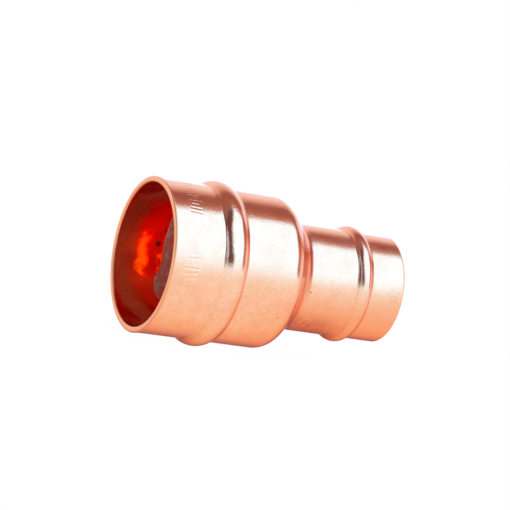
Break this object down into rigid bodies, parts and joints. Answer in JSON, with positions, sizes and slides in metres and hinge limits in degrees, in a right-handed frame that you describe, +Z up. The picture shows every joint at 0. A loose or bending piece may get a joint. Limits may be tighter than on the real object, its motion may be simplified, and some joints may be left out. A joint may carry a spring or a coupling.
{
  "type": "concentric reducer",
  "caption": "Straight reducing coupling in drawn copper with a captive solder ring in the bead of each socket, joining a large tube to a small one.",
  "frame": {"origin": "on the tube axis, midway between the two mouths", "axes": "+X runs along the tube axis from the large socket to the small one, +Z is up"},
  "size_m": [0.041, 0.0254, 0.0254],
  "materials": {
    "copper": "bright drawn copper, satin",
    "solder": "dull grey tin solder"
  },
  "bodies": {
    "root": {"reducer_body": "copper", "large_solder_ring": "solder", "small_solder_ring": "solder"}
  },
  "joints": []
}
